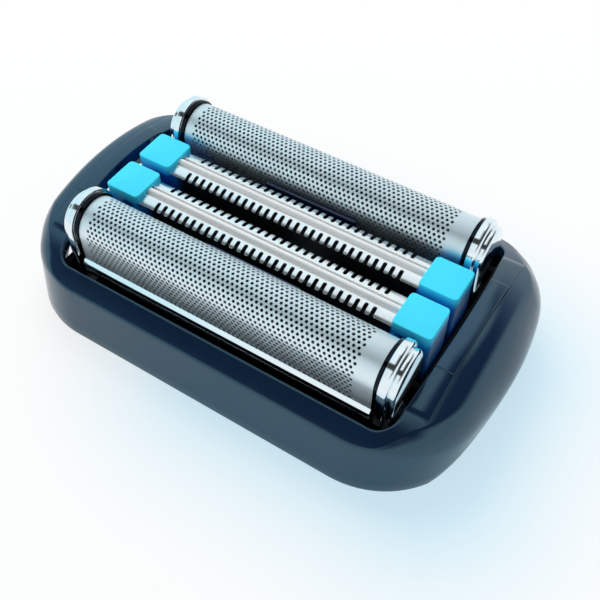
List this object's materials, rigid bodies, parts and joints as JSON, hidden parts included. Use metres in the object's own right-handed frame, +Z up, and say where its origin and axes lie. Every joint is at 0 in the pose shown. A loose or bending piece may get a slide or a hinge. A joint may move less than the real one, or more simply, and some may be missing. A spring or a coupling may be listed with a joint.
{
  "type": "shaver foil head",
  "caption": "Electric-shaver foil cassette: a moulded frame holding sprung perforated foils and slotted middle trimmers with end caps, over sliding cutters.",
  "frame": {"origin": "middle of the base, on the plane the frame rests on", "axes": "+X along the foils to the right end, +Y to the rear foil, +Z up to the shaving side"},
  "size_m": [0.058, 0.036, 0.0143],
  "materials": {
    "frame_plastic": "glossy slate blue moulding",
    "dark_plastic": "matt black moulding",
    "plating": "bright chrome plating",
    "foil_steel": "bright thin steel sheet",
    "clip_plastic": "glossy dark navy",
    "comb_steel": "polished steel",
    "cap_plastic": "glossy light blue moulding",
    "blade_steel": "ground steel"
  },
  "bodies": {
    "housing": {"frame": "frame_plastic", "chassis": "dark_plastic", "front_foil_springs": "blade_steel", "rear_foil_springs": "blade_steel", "front_trimmer_springs": "blade_steel", "rear_trimmer_springs": "blade_steel"},
    "front_foil_unit": {"front_foil_carrier": "plating", "front_foil": "foil_steel", "front_foil_clip": "clip_plastic"},
    "rear_foil_unit": {"rear_foil_carrier": "plating", "rear_foil": "foil_steel", "rear_foil_clip": "clip_plastic"},
    "front_cutter": {"front_cutter_carrier": "dark_plastic", "front_cutter_blades": "blade_steel"},
    "rear_cutter": {"rear_cutter_carrier": "dark_plastic", "rear_cutter_blades": "blade_steel"},
    "front_trimmer_unit": {"front_trimmer_comb": "comb_steel", "front_trimmer_left_cap": "cap_plastic", "front_trimmer_right_cap": "cap_plastic"},
    "rear_trimmer_unit": {"rear_trimmer_comb": "comb_steel", "rear_trimmer_left_cap": "cap_plastic", "rear_trimmer_right_cap": "cap_plastic"},
    "front_trimmer_cutter": {"front_trimmer_blade": "blade_steel", "front_trimmer_slider": "dark_plastic"},
    "rear_trimmer_cutter": {"rear_trimmer_blade": "blade_steel", "rear_trimmer_slider": "dark_plastic"}
  },
  "joints": [
    {"name": "front_foil_float", "type": "slide", "parent": "housing", "child": "front_foil_unit", "axis": [0, 0, -1], "range_m": [0, 0.0012], "stiffness_N_per_m": 500, "springref_m": -0.0008, "deforming": ["front_foil_springs"]},
    {"name": "rear_foil_float", "type": "slide", "parent": "housing", "child": "rear_foil_unit", "axis": [0, 0, -1], "range_m": [0, 0.0012], "stiffness_N_per_m": 500, "springref_m": -0.0008, "deforming": ["rear_foil_springs"]},
    {"name": "front_trimmer_float", "type": "slide", "parent": "housing", "child": "front_trimmer_unit", "axis": [0, 0, -1], "range_m": [0, 0.0012], "stiffness_N_per_m": 400, "springref_m": -0.0008, "deforming": ["front_trimmer_springs"]},
    {"name": "rear_trimmer_float", "type": "slide", "parent": "housing", "child": "rear_trimmer_unit", "axis": [0, 0, -1], "range_m": [0, 0.0012], "stiffness_N_per_m": 400, "springref_m": -0.0008, "deforming": ["rear_trimmer_springs"]},
    {"name": "front_cutter_stroke", "type": "slide", "parent": "front_foil_unit", "child": "front_cutter", "axis": [1, 0, 0], "range_m": [-0.001, 0.001]},
    {"name": "rear_cutter_stroke", "type": "slide", "parent": "rear_foil_unit", "child": "rear_cutter", "axis": [1, 0, 0], "range_m": [-0.001, 0.001]},
    {"name": "front_trimmer_stroke", "type": "slide", "parent": "front_trimmer_unit", "child": "front_trimmer_cutter", "axis": [1, 0, 0], "range_m": [-0.0006, 0.0006]},
    {"name": "rear_trimmer_stroke", "type": "slide", "parent": "rear_trimmer_unit", "child": "rear_trimmer_cutter", "axis": [1, 0, 0], "range_m": [-0.0006, 0.0006]}
  ]
}
